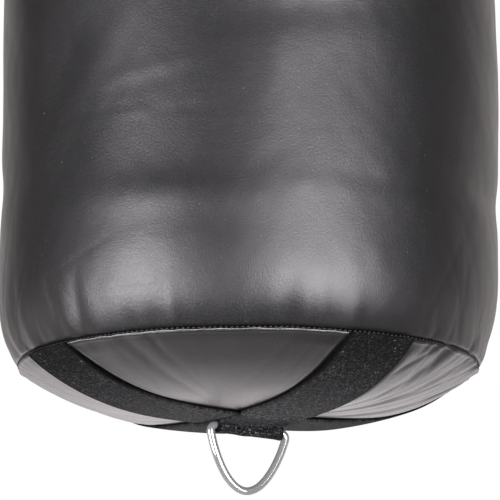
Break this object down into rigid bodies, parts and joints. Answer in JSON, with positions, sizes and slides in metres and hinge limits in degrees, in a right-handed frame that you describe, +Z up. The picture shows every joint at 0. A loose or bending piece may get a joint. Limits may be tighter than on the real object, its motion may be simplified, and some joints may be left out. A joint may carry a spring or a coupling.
{
  "type": "punching bag",
  "caption": "Hanging heavy bag: stuffed black cylinder with a zipped top, a cross of webbing and a D-ring below, on chain legs under a swivel and a carabiner.",
  "frame": {"origin": "where the hook above carries the bag: the inner crown of the carabiner", "axes": "+Z up along the bag; X along the bottom D-ring's bar before its small turn and along the zip; Y along the outer bottom strap"},
  "size_m": [0.35, 0.35, 1.4508],
  "materials": {
    "cover": "satin black synthetic leather with a very fine grain",
    "webbing": "black woven webbing",
    "bright_steel": "bright nickel plate",
    "zinc_steel": "zinc plate",
    "zip_metal": "dark brass",
    "foam": "grey open-cell foam",
    "sack": "undyed woven cloth",
    "filling": "packed textile shreds"
  },
  "bodies": {
    "hanger_hook": {"carabiner_body": "bright_steel", "gate_pin": "zinc_steel"},
    "gate": {"carabiner_gate": "bright_steel"},
    "swivel_upper": {"swivel_upper_eye": "bright_steel"},
    "swivel_lower": {"swivel_barrel": "bright_steel", "swivel_thrust_washer": "zip_metal", "swivel_lower_eye": "bright_steel"},
    "bag": {"master_ring": "zinc_steel", "chain_1_link_1": "zinc_steel", "chain_1_link_2": "zinc_steel", "chain_1_link_3": "zinc_steel", "chain_1_link_4": "zinc_steel", "chain_2_link_1": "zinc_steel", "chain_2_link_2": "zinc_steel", "chain_2_link_3": "zinc_steel", "chain_2_link_4": "zinc_steel", "chain_3_link_1": "zinc_steel", "chain_3_link_2": "zinc_steel", "chain_3_link_3": "zinc_steel", "chain_3_link_4": "zinc_steel", "chain_4_link_1": "zinc_steel", "chain_4_link_2": "zinc_steel", "chain_4_link_3": "zinc_steel", "chain_4_link_4": "zinc_steel", "s_hook_1": "zinc_steel", "s_hook_2": "zinc_steel", "s_hook_3": "zinc_steel", "s_hook_4": "zinc_steel", "top_d_ring_1": "bright_steel", "top_d_ring_2": "bright_steel", "top_d_ring_3": "bright_steel", "top_d_ring_4": "bright_steel", "hanger_strap_1": "webbing", "hanger_strap_2": "webbing", "hanger_strap_3": "webbing", "hanger_strap_4": "webbing", "body_cover": "cover", "bottom_panel": "cover", "top_panel": "cover", "bottom_seam_binding": "webbing", "top_seam_binding": "webbing", "bottom_strap_inner": "webbing", "bottom_strap_outer": "webbing", "foam_jacket": "foam", "foam_base_disc": "foam", "foam_top_disc": "foam", "inner_sack": "sack", "textile_filling": "filling", "zip_tape_left": "webbing", "zip_tape_right": "webbing", "zip_teeth_left": "zip_metal", "zip_teeth_right": "zip_metal", "zip_stop_open_end": "zip_metal", "zip_stop_closed_end": "zip_metal"},
    "tether_ring": {"bottom_d_ring": "bright_steel"},
    "slider": {"zip_slider": "zip_metal"},
    "pull_tab": {"zip_pull": "zip_metal"}
  },
  "joints": [
    {"name": "gate_hinge", "type": "hinge", "parent": "hanger_hook", "child": "gate", "pos_m": [0.016, 0, -0.047], "axis": [0, -1, 0], "range_deg": [0, 25], "stiffness_Nm_per_rad": 0.3, "springref_deg": -11.46},
    {"name": "eye_swing", "type": "hinge", "parent": "hanger_hook", "child": "swivel_upper", "pos_m": [0, 0, -0.066], "axis": [1, 0, 0], "range_deg": [-35, 35]},
    {"name": "swivel_turn", "type": "hinge", "parent": "swivel_upper", "child": "swivel_lower", "pos_m": [0, 0, -0.088], "axis": [0, 0, 1], "continuous": true},
    {"name": "ring_swing", "type": "hinge", "parent": "swivel_lower", "child": "bag", "pos_m": [0, 0, -0.143], "axis": [0, 1, 0], "range_deg": [-35, 35]},
    {"name": "tether_swing", "type": "hinge", "parent": "bag", "child": "tether_ring", "pos_m": [0, 0, -1.39622], "axis": [0.9889, -0.139, -0.0523], "range_deg": [-75, 75]},
    {"name": "zip_run", "type": "slide", "parent": "bag", "child": "slider", "axis": [-1, 0, 0], "range_m": [0, 0.185]},
    {"name": "pull_lift", "type": "hinge", "parent": "slider", "child": "pull_tab", "pos_m": [0.0927, 0, -0.38973], "axis": [0, 1, 0], "range_deg": [0, 170]}
  ]
}
